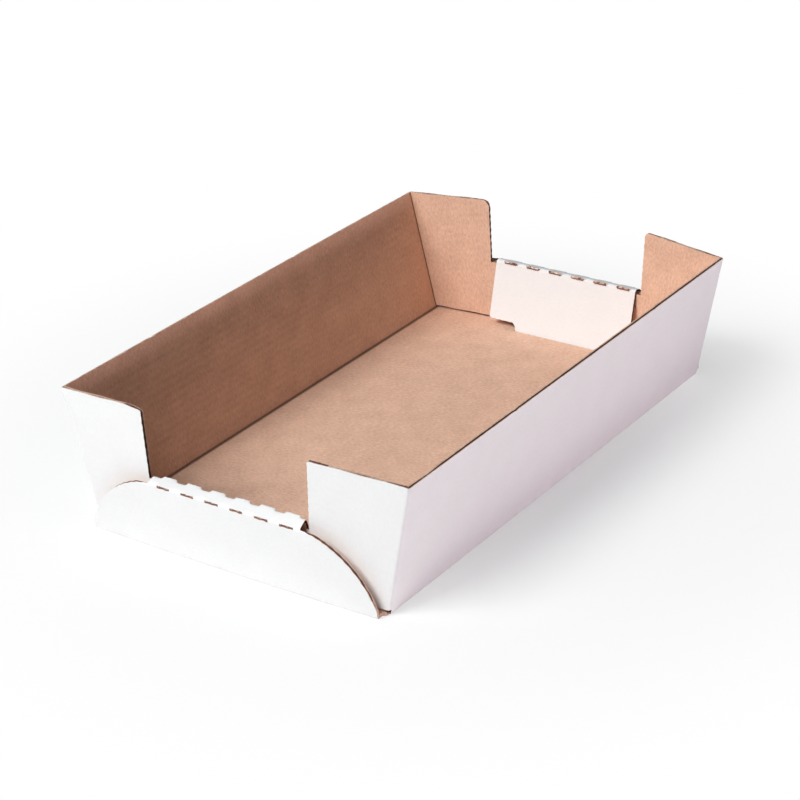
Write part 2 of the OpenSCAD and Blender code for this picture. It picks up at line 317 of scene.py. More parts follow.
# Each corner is folded a little differently: shift of the wall's foot, of the rim's corner and of the
# flap's free top corner, distance of the flap's free edge from the roll-over flap, the free top
# corner's cut as length along the top edge, drop down the free edge and radius, and how far the
# wall's foot is cut back below the flap
Corner = namedtuple("Corner", "foot rim free clear back drop radius relief")
UNMOVED = Vector((0, 0, 0))
CORNERS = {
    NEAR_LEFT: Corner(
        foot=UNMOVED, rim=Vector((-4.9, 0, -1.2)) * MM, free=Vector((0, 0, 1.5)) * MM,
        clear=FLAP_CLEAR, back=11 * MM, drop=2.4 * MM, radius=80 * MM, relief=0),
    NEAR_RIGHT: Corner(
        foot=Vector((2.4, -1.5, 0)) * MM, rim=Vector((0.3, 0, -2.0)) * MM,
        free=Vector((0, 0, -2.2)) * MM, clear=2.9 * MM, back=0, drop=0, radius=2 * MM, relief=2.4 * MM),
    FAR_LEFT: Corner(
        foot=UNMOVED, rim=Vector((-1.5, 0, 0)) * MM, free=Vector((0, 2.0, 0.6)) * MM,
        clear=6.3 * MM, back=0, drop=0, radius=FLAP_CORNER_R, relief=0),
    FAR_RIGHT: Corner(
        foot=Vector((1.7, -4.5, 0)) * MM, rim=Vector((0.1, -1.6, 0.1)) * MM,
        free=Vector((0, 5.0, -0.4)) * MM, clear=5.2 * MM, back=0, drop=0, radius=4 * MM, relief=2.4 * MM),
}
# Width of the floor's margin that follows a wall's foot, and how soon it is straight beyond the wall
FOOT_MARGIN = 30 * MM
EAR_FADE = 4 * MM
# The left wall's rim bows out in the middle
WALL_BOW = 1.0 * MM
# Rise of the near bridge's inner crease in its middle, and how much more it rises at its right end
BRIDGE_LIFT = 1.5 * MM
BRIDGE_TWIST = 1.4 * MM
# The far end panel's right foot stands in towards the floor, and the near one's foot bows out
FOOT_BOW = 5.5 * MM
NEAR_FOOT_BOW = 2.4 * MM


def wing_shift(side, end, v, z):
    """Shift of a long wall or a corner flap by the way its corners are folded."""
    height = z / WALL_H
    if v <= WALL_END:
        near, far = CORNERS[side, -1], CORNERS[side, 1]
        share = (end * v / WALL_END + 1) / 2
        bow = WALL_BOW * (1 - (v / WALL_END) ** 2) if side < 0 else 0
        rim = near.rim.lerp(far.rim, share) - Vector((bow, 0, 0))
        return near.foot.lerp(far.foot, share).lerp(rim, height)
    corner = CORNERS[side, end]
    share = ease((v - WALL_END) / (wall_x(WALL_H) - ROLL_HALF))
    return corner.foot.lerp(UNMOVED, share).lerp(corner.rim.lerp(corner.free, share), height)


def floor_shift(side, end, u, v):
    """Shift of the floor's margin, which follows the foot of a long wall."""
    share = (end * min(v, WALL_END) / WALL_END + 1) / 2
    foot = CORNERS[side, -1].foot.lerp(CORNERS[side, 1].foot, share)
    beside_wall = ease((u - HALF_W + WALL_ROUND + FOOT_MARGIN) / FOOT_MARGIN)
    return foot * beside_wall * (1 - ease((v - WALL_END) / EAR_FADE))


def end_shift(u, v, end, z):
    """Shift of an end by the way it is folded."""
    at_foot = ease((v - WALL_END) / WALL_SETBACK) * max(1 - z / PANEL_H, 0)
    if end < 0:
        outwards = max(1 - (2 * u / PANEL_FOOT_W) ** 2, 0) * at_foot
        past = (v - CREASE_V) / (BRIDGE_END_V - CREASE_V)
        left = (TAB_END_V - v) / (TAB_END_V - BRIDGE_END_V)
        rise = BRIDGE_LIFT + BRIDGE_TWIST * u / ROLL_HALF
        return Vector((0, -NEAR_FOOT_BOW * outwards, rise * max(min(past, left), 0)))
    inwards = ease((u - TOE_X) / (PANEL_FOOT_W / 2 - TOE_X)) * at_foot
    return Vector((0, -FOOT_BOW * inwards, 0))


def fold_up(flat, loose=False):
    """Place on the folded tray of a point of the flat sheet. A loose piece ends at a crease's cut."""
    side = math.copysign(1, flat.x)
    end = math.copysign(1, flat.y)
    u, v, depth = abs(flat.x), abs(flat.y), flat.z
    if not in_wing(u, v):
        crisp = crispness(flat.x) if loose or depth < BOARD / 2 else 0
        y, z = along_run(END_RUN, v, depth, crisp)
        place = Vector((flat.x, end * y, z)) + end_shift(flat.x, v, end, z)
        return place + floor_shift(side, end, u, v)
    if u < HALF_W + WALL_ROUND and v <= WALL_END + TINY:
        x, z = along_run(WALL_RUN, u, depth)
        return Vector((side * x, flat.y, z)) + wing_shift(side, end, v, z)
    out, y = along_run(FLAP_RUN, v, depth)
    up = u - HALF_W
    x = HALF_W + up * math.sin(WALL_LEAN) + out * math.cos(WALL_LEAN)
    z = up * math.cos(WALL_LEAN) - out * math.sin(WALL_LEAN)
    return Vector((side * x, end * y, z)) + wing_shift(side, end, v, z)


def arch_points():
    """The arched edge of an end panel on the flat sheet, from its foot to its crease."""
    foot = Vector((PANEL_FOOT_W / 2, FOLD_OUT + FOOT_H))
    crease_end = Vector((ROLL_HALF, PANEL_H))
    chord = foot - crease_end
    sink = math.sqrt(ARCH_R ** 2 - chord.length_squared / 4)
    centre = (crease_end + foot) / 2 - left_of(chord.normalized()) * sink
    sweep = angle_between(foot - centre, crease_end - centre)
    places = [centre + turned(foot - centre, sweep * i / ARCH_STEPS) for i in range(ARCH_STEPS + 1)]
    return [Vector((p.x, HALF_L + p.y / math.cos(PANEL_LEAN), 0)) for p in places]


def flap_top_corner(corner, top, top_dir):
    """Points of a flap's free top corner in the end view, each with its radius."""
    if not corner.back:
        return [(top, corner.radius)]
    return [(top - top_dir * corner.back, corner.radius),
            (top + left_of(top_dir) * corner.drop, FREE_CORNER_R)]


def foot_cut(corner):
    """Points between a flap's foot and the floor's ear on the flat sheet."""
    fold_start = HALF_W - WALL_ROUND
    if corner.relief:
        cut_v = WALL_END - corner.relief
        places = [(flap_foot_u(WALL_END), cut_v), (fold_start, cut_v)]
    else:
        ear_start = WALL_END + NOTCH
        places = [(fold_start, WALL_END), (fold_start, ear_start), (HALF_W, ear_start)]
    return [Vector((u, v, 0)) for u, v in places]


def blank_quarter(corner):
    """A quarter of the blank as one flat face: a long wall, a corner flap, an end and the floor."""
    rim = Vector((HALF_W + WALL_SLOPE * math.sin(WALL_LEAN) - BOARD * math.cos(WALL_LEAN),
                  WALL_H + BOARD * math.sin(WALL_LEAN)))
    top_dir = Vector((-math.cos(FLAP_TILT), math.sin(FLAP_TILT)))
    step = Vector((ROLL_HALF + corner.clear, STEP_Z))
    top = crossing(rim, top_dir, step, left_of(top_dir))
    beside_roll = ROLL_HALF + LAYER_GAP
    shoulder_v = BRIDGE_END_V + (BRIDGE_END.y - BOARD - SHOULDER_H) / -ROLL_DIR.y
    foot_u = PANEL_FOOT_W / 2
    foot_places = foot_cut(corner)
    ear_u = foot_places[-1].x
    ear_dy = math.sqrt(FLOOR_CORNER_R ** 2 - (foot_u - ear_u + FLOOR_CORNER_R) ** 2)
    ear_v = HALF_L - FOLD_OUT - FLOOR_CORNER_R + ear_dy
    ear_rise = (ear_u - foot_u) * (foot_u - ear_u + FLOOR_CORNER_R) / ear_dy
    corners = [
        (Vector((0, 0, 0)), 0),
        (Vector((RIM_U, 0, 0)), 0),
        (Vector((RIM_U, WALL_END, 0)), 0),
        (on_flap(*rim), 0),
    ]
    corners += [(on_flap(*p), radius) for p, radius in flap_top_corner(corner, top, top_dir)]
    corners += [
        (on_flap(*step), 0),
        (on_flap(beside_roll, STEP_Z), 0),
        (on_flap(beside_roll, TOE_Z), 0),
        (on_flap(TOE_X, TOE_Z), TOE_R),
        (on_flap(TOE_X, FLAP_FOOT), TOE_R),
        (Vector((flap_foot_u(WALL_END), WALL_END, 0)), 0),
    ]
    corners += [(place, 0) for place in foot_places]
    corners += [
        (Vector((ear_u, ear_v - ear_rise, 0)), FLOOR_CORNER_R),
        (Vector((foot_u, ear_v, 0)), 0),
    ]
    corners += [(p, 0) for p in arch_points()]
    corners += [
        (Vector((ROLL_HALF, shoulder_v, 0)), SHOULDER_R),
        (Vector((TAB_HALF, shoulder_v, 0)), TAB_FILLET),
        (Vector((TAB_HALF, TAB_END_V, 0)), 0),
        (Vector((0, TAB_END_V, 0)), 0),
    ]
    bm = bmesh.new()
    verts = [bm.verts.new(place) for place, _ in corners]
    bm.faces.new(verts)
    for i, (place, radius) in enumerate(corners):
        if radius:
            before = corners[i - 1][0] - place
            after = corners[(i + 1) % len(corners)][0] - place
            reach = radius / math.tan(before.angle(after) / 2)
            bmesh.ops.bevel(bm, geom=[verts[i]], affect="VERTICES", offset=reach,
                            offset_type="OFFSET", segments=ROUND_STEPS, profile=0.5, material=-1,
                            clamp_overlap=False)
    return bm


def fold_lines(fold):
    """Lines across the sheet that let a fold bend smoothly."""
    reach = fold_reach(fold)
    return [fold.at - reach + 2 * reach * i / FOLD_STEPS for i in range(FOLD_STEPS + 1)]


def even_lines(last):
    return [GRID * i for i in range(1, int(last / GRID) + 1)]


def cut_across(bm, axis, places):
    """Split a flat mesh along lines at the given places on the x or the y axis."""
    normal = Vector((1, 0, 0)) if axis == "x" else Vector((0, 1, 0))
    for place in places:
        bmesh.ops.bisect_plane(bm, geom=bm.verts[:] + bm.edges[:] + bm.faces[:], dist=TINY,
                               plane_co=normal * place, plane_no=normal)


def joined(parts):
    """One bmesh of several, which are used up."""
    whole = bmesh.new()
    for part in parts:
        mesh = bpy.data.meshes.new("part")
        part.to_mesh(mesh)
        whole.from_mesh(mesh)
        part.free()
        bpy.data.meshes.remove(mesh)
    return whole


def cut_bounds(fold):
    """Where the white liner ends on both sides of a crease's cuts. It splits back from the outer ones."""
    start = fold.at + fold.overhang
    if fold is OUTER_CREASE:
        return (start - CUT_DROP - SPLIT, start - CUT_DROP + CUT_W + SPLIT)
    return (start, start + CUT_W)


def flat_blank(with_cuts):
    """The whole blank as one flat sheet with its lock slots.

    With cuts, it has the perforation. Without them, it ends short of the bridges' open ends.
    """
    slot_u = TAB_HALF + LAYER_GAP
    hollow = ((ROLL_HALF - HOLLOW, ROLL_HALF + BOARD), (CREASE_V, BRIDGE_END_V + CREASE_ROUND))
    cuts = [cut_bounds(OUTER_CREASE), cut_bounds(INNER_CREASE)]
    slot = ((0, slot_u), (TAB_END.x - LAYER_GAP, SLOT_IN.x + LAYER_GAP))
    quarters = []
    for (side, end), corner in CORNERS.items():
        spans = [sorted((side * start, side * stop)) for start, stop in cut_spans() if side * start > 0]
        if with_cuts:
            holes = [slot] + [(span, cut) for span in spans for cut in cuts]
        else:
            holes = [slot, hollow]
        bm = blank_quarter(corner)
        cut_across(bm, "x", even_lines(RIM_U))
        cut_across(bm, "y", even_lines(TAB_END_V))
        cut_across(bm, "x", fold_lines(WALL_FOLD))
        for fold in [FLAP_FOLD, END_FOLD, OUTER_CREASE, INNER_CREASE]:
            cut_across(bm, "y", fold_lines(fold))
        fade_ends = [place for start, stop in spans for place in (start - LIP_FADE, stop + LIP_FADE)]
        cut_across(bm, "x", [slot_u, hollow[0][0]] + fade_ends)
        cut_across(bm, "x", [edge for span in spans for edge in span])
        cut_across(bm, "y", [edge for hole in [slot[1], hollow[1]] + cuts for edge in hole])
        gone = []
        for face in bm.faces:
            middle = face.calc_center_median()
            if any(u0 < middle.x < u1 and v0 < middle.y < v1 for (u0, u1), (v0, v1) in holes):
                gone.append(face)
        bmesh.ops.delete(bm, geom=gone, context="FACES")
        bmesh.ops.scale(bm, vec=(side, end, 1), verts=bm.verts[:])
        quarters.append(bm)
    whole = joined(quarters)
    bmesh.ops.remove_doubles(whole, verts=whole.verts[:], dist=WELD)
    return whole


# Dents in the brown liner at the long rims: side, place along the rim, length and depth
DENTS = [(-1, -172 * MM, 8 * MM, 1.1 * MM), (-1, -92 * MM, 3 * MM, 1.0 * MM),
         (1, -215 * MM, 12 * MM, -0.6 * MM)]
# Nicks in the long rims: side, place along the rim and depth
NICKS = [(-1, -132 * MM, 0.9 * MM), (-1, 62 * MM, 0.5 * MM),
         (1, -96 * MM, 0.8 * MM), (1, 120 * MM, 0.5 * MM)]


def edge_offset(place, phase):
    """How far a cut edge stands out from the true outline: teeth at the flutes, fray and nicks."""
    flute = math.cos(2 * math.pi * place.x / FLUTE_PITCH + phase)
    fray = noise.noise(Vector((place.x / FRAY_LENGTH, place.y / FRAY_LENGTH, phase)))
    offset = TEETH * flute + FRAY * fray
    for side, along, deep in NICKS:
        if side * place.x > RIM_U - BOARD:
            offset -= deep * math.exp(-((place.y - along) / NICK_L) ** 2)
    return offset


def frayed(sheet, phase):
    """A copy of the flat sheet with the worn edges of a die-cut liner."""
    bm = sheet.copy()
    for edge in [e for e in bm.edges if e.is_boundary]:
        steps = int(edge.calc_length() / EDGE_STEP)
        if steps:
            bmesh.ops.bisect_edges(bm, edges=[edge], cuts=steps)
    bm.normal_update()
    shifts = []
    for vert in bm.verts:
        rims = [e for e in vert.link_edges if e.is_boundary]
        if len(rims) == 2:
            outward = Vector((0, 0, 0))
            for edge in rims:
                across = (edge.verts[1].co - edge.verts[0].co).cross(Vector((0, 0, 1))).normalized()
                inside = edge.link_faces[0].calc_center_median() - edge.verts[0].co
                outward += across if across.dot(inside) < 0 else -across
            shifts.append((vert, outward.normalized() * edge_offset(vert.co, phase)))
    for vert, shift in shifts:
        vert.co += shift
    return bm


# Finishes of the board, in the order of the tray's materials: how far the mottle ranges to both sides of
# its middle, the colours of the dark and the pale fibres, whether specks and crease lines that are partly
# painted shade mark the face, and the strength of its relief
Finish = namedtuple("Finish", "name spread dark pale marked relief")
FINISHES = [
    Finish("white_face", 0.25, (0.86, 0.855, 0.85), (0.925, 0.92, 0.915), False, 0.5),
    Finish("kraft_face", 0.17, (0.666, 0.412, 0.291), (0.914, 0.609, 0.453), True, 1.0),
    Finish("cut_edge", 0.15, (0.46, 0.3, 0.22), (0.76, 0.55, 0.43), False, 0.5),
    # The fluting's colour, also on the liners' inner faces and in cuts and hollows, is darkened with
    # painted shade
    Finish("fluting_painted_shade", 0.15, (0.14, 0.07, 0.055), (0.31, 0.155, 0.118), False, 0.5),
]
WHITE, KRAFT, EDGE, FLUTE_WITH_PAINTED_SHADE = range(len(FINISHES))


def thickened(sheet, lower, upper):
    """A closed slab of the flat sheet between two depths."""
    bm = sheet.copy()
    bmesh.ops.translate(bm, verts=bm.verts[:], vec=(0, 0, lower))
    grown = bmesh.ops.extrude_face_region(bm, geom=bm.faces[:])["geom"]
    raised = [item for item in grown if isinstance(item, bmesh.types.BMVert)]
    bmesh.ops.translate(bm, verts=raised, vec=(0, 0, upper - lower))
    # Extruding makes the side faces in no fixed order, so all are put in order by place and direction
    bm.normal_update()
    in_order = sorted(bm.faces, key=lambda face: (*face.calc_center_median(), *face.normal))
    for index, face in enumerate(in_order):
        face.index = index
    bm.faces.sort()
    bmesh.ops.recalc_face_normals(bm, faces=bm.faces[:])
    return bm


def finish_faces(bm, below, above, side):
    """Give flat faces their finish by the way they face, and keep the flat places as the UV map."""
    flat_map = bm.loops.layers.uv.new("flat")
    bm.normal_update()
    for face in bm.faces:
        if abs(face.normal.z) < EDGE_UPRIGHT:
            face.material_index = side
        else:
            face.material_index = above if face.normal.z > 0 else below
        for loop in face.loops:
            loop[flat_map].uv = (loop.vert.co.x, loop.vert.co.y)


def shows_flutes(place):
    """True on the panels whose flutes show at their edges, false where folds press the board flat."""
    u, v = abs(place.x), abs(place.y)
    if in_wing(u, v):
        return u > HALF_W + WALL_ROUND or v > WALL_END
    panel_end = CREASE_V - fold_reach(OUTER_CREASE)
    flap_start = BRIDGE_END_V + fold_reach(INNER_CREASE)
    return HALF_L + FOLD_OUT < v < panel_end or v > flap_start


def on_bridge_end(place):
    """True at the two short edges of a bridge, where the board stands open."""
    return abs(place.y) > CREASE_V - CREASE_ROUND and abs(place.x) > ROLL_HALF - BOARD


def turn_in_edges(bm, inner_face, burr):
    """Bend a liner's cut edges towards the middle of the board, and close the board at its folds."""
    middle = BOARD / 2
    for vert in bm.verts:
        cuts = [face.normal for face in vert.link_faces if face.material_index == EDGE]
        if not cuts or abs(vert.co.z - inner_face) > TINY:
            continue
        if on_bridge_end(vert.co):
            share = ACROSS_SHARE
        elif shows_flutes(vert.co):
            along = max(abs(normal.x) for normal in cuts)
            crushed = RIGHT_RIM_SHARE if vert.co.x > RIM_U - BOARD else 1
            slant = ease((along - ALONG_FROM) / (1 - ALONG_FROM))
            share = ACROSS_SHARE + (crushed - ACROSS_SHARE) * slant
        else:
            vert.co.z = middle
            continue
        vert.co.z += math.copysign(burr * share, middle - inner_face)


def dented(bm):
    """Bow the brown liner out from the board where the rim is dented."""
    for vert in bm.verts:
        for side, along, length, deep in DENTS:
            near_rim = math.exp((side * vert.co.x - RIM_U) / length)
            if side * vert.co.x > HALF_W:
                vert.co.z += deep * near_rim * math.exp(-((vert.co.y - along) / length) ** 2)


def worn_slab(sheet, phase, lower, upper):
    """A closed slab with worn edges between two depths."""
    worn = frayed(sheet, phase)
    slab = thickened(worn, lower, upper)
    worn.free()
    return slab


def white_liner(sheet):
    bm = worn_slab(sheet, 0, 0, LINER)
    finish_faces(bm, WHITE, FLUTE_WITH_PAINTED_SHADE, EDGE)
    turn_in_edges(bm, LINER, WHITE_BURR)
    return bm


def brown_liner(sheet):
    bm = worn_slab(sheet, math.pi, BOARD - LINER, BOARD)
    finish_faces(bm, FLUTE_WITH_PAINTED_SHADE, KRAFT, EDGE)
    turn_in_edges(bm, BOARD - LINER, BROWN_BURR)
    dented(bm)
    return bm


def as_object(name, bm):
    mesh = bpy.data.meshes.new(name)
    bm.to_mesh(mesh)
    obj = bpy.data.objects.new(name, mesh)
    bpy.context.scene.collection.objects.link(obj)
    return obj


def fluting_painted_shade(sheet):
    """The fluted paper of the walls, the corner flaps, the end panels and the inner flaps, darkened with
    painted shade.
    """
    bm = sheet.copy()
    others = [face for face in bm.faces if not shows_flutes(face.calc_center_median())]
    bmesh.ops.delete(bm, geom=others, context="FACES")
    rim = bmesh.ops.inset_region(bm, faces=bm.faces[:], thickness=FLUTE_RECESS, use_boundary=True,
                                 use_even_offset=True)["faces"]
    bmesh.ops.delete(bm, geom=rim, context="FACES")
    bmesh.ops.dissolve_limit(bm, angle_limit=FLAT_ANGLE, verts=bm.verts[:], edges=bm.edges[:])
    steps = math.ceil(RIM_U / FLUTE_PITCH) * FLUTE_STEPS
    cut_across(bm, "x", [FLUTE_PITCH * i / FLUTE_STEPS for i in range(-steps, steps + 1)])
    lines = fold_lines(FLAP_FOLD) + even_lines(TAB_END_V)
    cut_across(bm, "y", lines + [-line for line in lines])
    paper = thickened(bm, (BOARD - FLUTE_PAPER) / 2, (BOARD + FLUTE_PAPER) / 2)
    bm.free()
    height = (BOARD - FLUTE_PAPER) / 2 - LINER
    for vert in paper.verts:
        vert.co.z += height * math.sin(2 * math.pi * vert.co.x / FLUTE_PITCH)
    finish_faces(paper, FLUTE_WITH_PAINTED_SHADE, FLUTE_WITH_PAINTED_SHADE, FLUTE_WITH_PAINTED_SHADE)
    return paper


def flat_square(side):
    """A flat square face about the middle."""
    bm = bmesh.new()
    bmesh.ops.create_grid(bm, x_segments=1, y_segments=1, size=side / 2)
    return bm


def cut_floors():
    """The inside of the board that shows in the perforation cuts and at the lips' ends, dark with painted
    shade.
    """
    cut_start, cut_stop = cut_bounds(OUTER_CREASE)
    outer = (cut_start - SPLIT, OUTER_CREASE.at, cut_stop + SPLIT)
    lip_end = INNER_CREASE.at + LIP - LIP_INSET
    inner = (INNER_CREASE.at - fold_reach(INNER_CREASE), INNER_CREASE.at, lip_end)
    parts = []
    for lines, upper in [(outer, LINER + CUT_FLOOR), (inner, BOARD - LINER)]:
        for start, stop in cut_spans():
            for end in (-1, 1):
                bm = flat_square(1)
                size = (stop - start - LINER, lines[-1] - lines[0], 1)
                bmesh.ops.scale(bm, vec=size, verts=bm.verts[:])
                place = ((start + stop) / 2, end * (lines[0] + lines[-1]) / 2, 0)
                bmesh.ops.translate(bm, verts=bm.verts[:], vec=place)
                cut_across(bm, "y", [end * lines[1]])
                parts.append(thickened(bm, LINER, upper))
                bm.free()
    bm = joined(parts)
    finish_faces(bm, FLUTE_WITH_PAINTED_SHADE, FLUTE_WITH_PAINTED_SHADE, FLUTE_WITH_PAINTED_SHADE)
    for vert in bm.verts:
        vert.co = fold_up(vert.co, loose=True)
    return bm


def mark_sharp(bm, limit):
    for face in bm.faces:
        face.smooth = True
    for edge in bm.edges:
        if len(edge.link_faces) == 2:
            edge.smooth = edge.calc_face_angle(0) < limit


def build_tray():
    """The folded sheet: white liner, fluted paper and brown liner in one piece."""
    whole_sheet = flat_blank(with_cuts=False)
    cut_sheet = flat_blank(with_cuts=True)
    folded = joined([
        white_liner(cut_sheet),
        brown_liner(whole_sheet),
        fluting_painted_shade(whole_sheet),
    ])
    whole_sheet.free()
    cut_sheet.free()
    for vert in folded.verts:
        vert.co = fold_up(vert.co)
    whole = joined([folded, cut_floors()])
    whole.normal_update()
    mark_sharp(whole, SHARP_ANGLE)
    tray = as_object("tray_sheet", whole)
    whole.free()
    return tray


def feed(tree, socket, value):
    """Give an input its value, or the socket that feeds it."""
    if isinstance(value, bpy.types.NodeSocket):
        tree.links.new(value, socket)
    else:
        socket.default_value = value


def node(tree, kind, settings=None, **inputs):
    """A new node with its settings and inputs."""
    made = tree.nodes.new(kind)
    for name, value in (settings or {}).items():
        setattr(made, name, value)
    for name, value in inputs.items():
        feed(tree, made.inputs[name.replace("_", " ")], value)
    return made


def calc(tree, operation, *values):
    """Result of a math node on values or sockets."""
    made = tree.nodes.new("ShaderNodeMath")
    made.operation = operation
    for socket, value in zip(made.inputs, values):
        feed(tree, socket, value)
    return made.outputs[0]


def faded(tree, value, start, stop):
    """1 where a value is below the start, falling smoothly to 0 at the stop."""
    ranged = node(tree, "ShaderNodeMapRange", {"interpolation_type": "SMOOTHSTEP"}, Value=value,
                  From_Min=start, From_Max=stop, To_Min=1.0, To_Max=0.0)
    return ranged.outputs["Result"]


# Places of the sockets for colours on a Mix node
MIX_SHARE, MIX_FIRST, MIX_SECOND, MIX_RESULT = 0, 6, 7, 2


def colour_mix(tree, share, first, second):
    """Colour between two colours or sockets."""
    made = tree.nodes.new("ShaderNodeMix")
    made.data_type = "RGBA"
    feed(tree, made.inputs[MIX_SHARE], share)
    for place, colour in ((MIX_FIRST, first), (MIX_SECOND, second)):
        feed(tree, made.inputs[place], (*colour, 1) if isinstance(colour, tuple) else colour)
    return made.outputs[MIX_RESULT]


def new_group(name, outputs):
    tree = bpy.data.node_groups.new(name, "ShaderNodeTree")
    for output in outputs:
        tree.interface.new_socket(output, in_out="OUTPUT", socket_type="NodeSocketFloat")
    return tree


def close_group(tree, **values):
    result = tree.nodes.new("NodeGroupOutput")
    for name, socket in values.items():
        tree.links.new(socket, result.inputs[name])


SheetPlace = namedtuple("SheetPlace", "vector u v")


def sheet_place(tree):
    """Sockets of a point's place on the flat sheet, in millimetres."""
    flat = node(tree, "ShaderNodeUVMap", {"uv_map": "flat"}).outputs["UV"]
    scaled = node(tree, "ShaderNodeVectorMath", {"operation": "SCALE"}, Vector=flat, Scale=1 / MM)
    parts = node(tree, "ShaderNodeSeparateXYZ", Vector=scaled.outputs["Vector"])
    return SheetPlace(scaled.outputs["Vector"], parts.outputs["X"], parts.outputs["Y"])


# Mottle of the paper: fibres drawn out across the flutes and larger clouds, with their shares
FIBRE_STRETCH = (0.5, 1, 1)
FIBRES = {"Scale": 0.55, "Detail": 3.0, "Roughness": 0.65}
CLOUDS = {"Scale": 0.045, "Detail": 2.0, "Roughness": 0.5}
FIBRE_SHARE = 0.7
CLOUD_SHARE = 0.3
MOTTLE_MIDDLE = 0.5
# Specks: how close they lie, how large they are in full and with their soft rims, and their strength
SPECK_SCALE = 0.16
SPECK_SIZE = (0.03, 0.09)
SPECK_SHARE = 0.45
SPECK_COLOUR = (0.3, 0.15, 0.09)
# Height of the fibres, and of the flutes where they print through
FIBRE_HEIGHT = 0.02 * MM
PRINT_HEIGHT = 0.03 * MM
# Dark lines along hard creases on the brown face, partly the pressed board's own mark and partly painted
# shade in the crease: where they are full and where they end, past the pinched corner of a long fold, and
# to both sides of a line that lies a little before a corner fold
LONG_LINE = (0.5 * MM, 2.6 * MM)
CORNER_LINE = (1.8 * MM, 3.6 * MM)
CORNER_LINE_BACK = 1.6 * MM
CREASE_MARK_AND_SHADE_SHARE = 0.75
CREASE_MARK_AND_SHADE_COLOUR = (0.12, 0.06, 0.045)
PAPER_ROUGHNESS = 0.86
PAPER_SHEEN = 0.25


def paper_group():
    """Fibre mottle, specks, and the height in metres of the flutes that print through a liner."""
    tree = new_group("paper", ["Mottle", "Specks", "Height"])
    place = sheet_place(tree)
    stretched = node(tree, "ShaderNodeMapping", Vector=place.vector, Scale=FIBRE_STRETCH).outputs["Vector"]
    fibres = node(tree, "ShaderNodeTexNoise", Vector=stretched, **FIBRES).outputs["Fac"]
    clouds = node(tree, "ShaderNodeTexNoise", Vector=place.vector, **CLOUDS).outputs["Fac"]
    mottle = calc(tree, "ADD", calc(tree, "MULTIPLY", fibres, FIBRE_SHARE),
                  calc(tree, "MULTIPLY", clouds, CLOUD_SHARE))
    grains = node(tree, "ShaderNodeTexVoronoi", Vector=stretched, Scale=SPECK_SCALE, Randomness=1.0)
    specks = faded(tree, grains.outputs["Distance"], *SPECK_SIZE)
    wave = calc(tree, "SINE", calc(tree, "MULTIPLY", place.u, 2 * math.pi * MM / FLUTE_PITCH))
    rough = calc(tree, "MULTIPLY", fibres, FIBRE_HEIGHT)
    height = calc(tree, "ADD", calc(tree, "MULTIPLY", wave, PRINT_HEIGHT), rough)
    close_group(tree, Mottle=mottle, Specks=specks, Height=height)
    return tree


def crease_mark_and_shade_group():
    """Mask of the dark lines along hard creases on the brown face: partly the pressed mark, partly painted
    shade.
    """
    tree = new_group("creases", ["Mask"])
    place = sheet_place(tree)
    across = calc(tree, "ABSOLUTE", place.u)
    along = calc(tree, "ABSOLUTE", place.v)
    from_fold = calc(tree, "ABSOLUTE", calc(tree, "SUBTRACT", across, HALF_W / MM))
    inner_line = BOARD * math.tan(WALL_TURN / 2)
    full, end = [(inner_line + reach) / MM for reach in LONG_LINE]
    beside_wall = calc(tree, "LESS_THAN", along, WALL_END / MM)
    long_line = calc(tree, "MULTIPLY", faded(tree, from_fold, full, end), beside_wall)
    line_v = (WALL_END - CORNER_LINE_BACK) / MM
    from_line = calc(tree, "ABSOLUTE", calc(tree, "SUBTRACT", along, line_v))
    full, end = [reach / MM for reach in CORNER_LINE]
    on_wall = calc(tree, "GREATER_THAN", across, HALF_W / MM)
    corner_line = calc(tree, "MULTIPLY", faded(tree, from_line, full, end), on_wall)
    close_group(tree, Mask=calc(tree, "MAXIMUM", long_line, corner_line))
    return tree


def use_group(tree, group):
    made = tree.nodes.new("ShaderNodeGroup")
    made.node_tree = group
    return made.outputs


def finish_colour(tree, finish, paper, groups):
    """A finish's mottled colour, marked on the brown face by specks and by crease lines that are partly
    painted shade.
    """
    share = node(tree, "ShaderNodeMapRange", Value=paper["Mottle"],
                 From_Min=MOTTLE_MIDDLE - finish.spread, From_Max=MOTTLE_MIDDLE + finish.spread)
    mottled = colour_mix(tree, share.outputs["Result"], finish.dark, finish.pale)
    if not finish.marked:
        return mottled
    specks = calc(tree, "MULTIPLY", paper["Specks"], SPECK_SHARE)
    specked = colour_mix(tree, specks, mottled, SPECK_COLOUR)
    # Crease lines: partly the pressed board's own mark, partly painted shade in the crease
    lines = calc(tree, "MULTIPLY", use_group(tree, groups["creases"])["Mask"], CREASE_MARK_AND_SHADE_SHARE)
    return colour_mix(tree, lines, specked, CREASE_MARK_AND_SHADE_COLOUR)


def board_material(finish, groups):
    material = bpy.data.materials.new(finish.name)
    material.use_nodes = True
    tree = material.node_tree
    shader = tree.nodes["Principled BSDF"]
    shader.inputs["Roughness"].default_value = PAPER_ROUGHNESS
    shader.inputs["Specular IOR Level"].default_value = PAPER_SHEEN
    paper = use_group(tree, groups["paper"])
    tree.links.new(finish_colour(tree, finish, paper, groups), shader.inputs["Base Color"])
    relief = node(tree, "ShaderNodeBump", Height=paper["Height"], Strength=finish.relief, Distance=1.0)
    tree.links.new(relief.outputs["Normal"], shader.inputs["Normal"])
    return material


tray = build_tray()
shared = {"paper": paper_group(), "creases": crease_mark_and_shade_group()}
for finish in FINISHES:
    tray.data.materials.append(board_material(finish, shared))
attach(tray, "root")
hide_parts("tray")

# Camera at the photograph's viewing angle
CAMERA_PLACE = Vector((1037.6, -1463.7, 917.4)) * MM
CAMERA_YAW = math.radians(35.69)
CAMERA_PITCH = math.radians(26.05)
CAMERA_ROLL = math.radians(-2.56)
CAMERA_LENS = 107.0
CAMERA_SENSOR = 36

